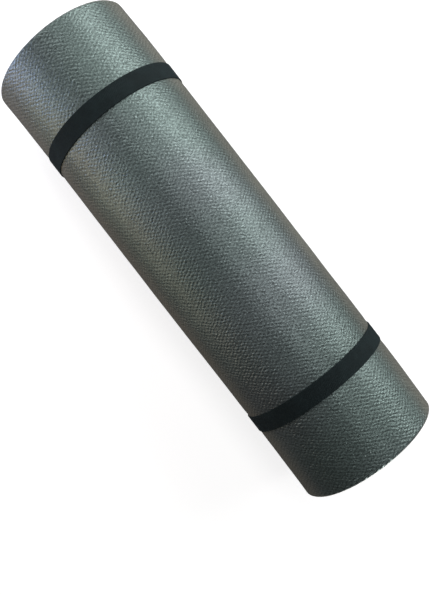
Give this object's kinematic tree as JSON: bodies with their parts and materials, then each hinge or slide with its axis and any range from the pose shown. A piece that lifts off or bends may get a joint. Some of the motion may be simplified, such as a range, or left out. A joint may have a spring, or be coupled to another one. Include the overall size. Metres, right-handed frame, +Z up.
{
  "type": "foam sleeping pad",
  "caption": "Closed-cell foam sleeping pad with embossed film faces, rolled up tight and held by elastic bands that slide off its ends.",
  "frame": {"origin": "on the ground under the middle of the roll, at the middle of the bottom of its bounding box", "axes": "+X runs along the roll, +Z is up, and +Y completes the right-handed frame; the sheet's free end is tucked under the roll on its -Y side, and the bands' sewn laps are under it on its +Y side"},
  "size_m": [0.5, 0.1562, 0.1522],
  "materials": {
    "foam_core": "matte closed-cell polyethylene foam",
    "outer_film": "pearlescent film, embossed with fine grains",
    "inner_film": "satin film, embossed with fine grains",
    "elastic_webbing": "matte ribbed elastic webbing",
    "sewing_thread": "twisted polyester thread"
  },
  "bodies": {
    "roll": {"foam_core": "foam_core", "outer_skin_film": "outer_film", "inner_skin_film": "inner_film"},
    "right_band": {"right_elastic_band": "elastic_webbing", "right_band_thread": "sewing_thread"},
    "left_band": {"left_elastic_band": "elastic_webbing", "left_band_thread": "sewing_thread"}
  },
  "joints": [
    {"name": "right_band_slide", "type": "slide", "parent": "roll", "child": "right_band", "axis": [1, 0, 0], "range_m": [-0.14, 0.125]},
    {"name": "left_band_slide", "type": "slide", "parent": "roll", "child": "left_band", "axis": [-1, 0, 0], "range_m": [-0.14, 0.12]}
  ]
}
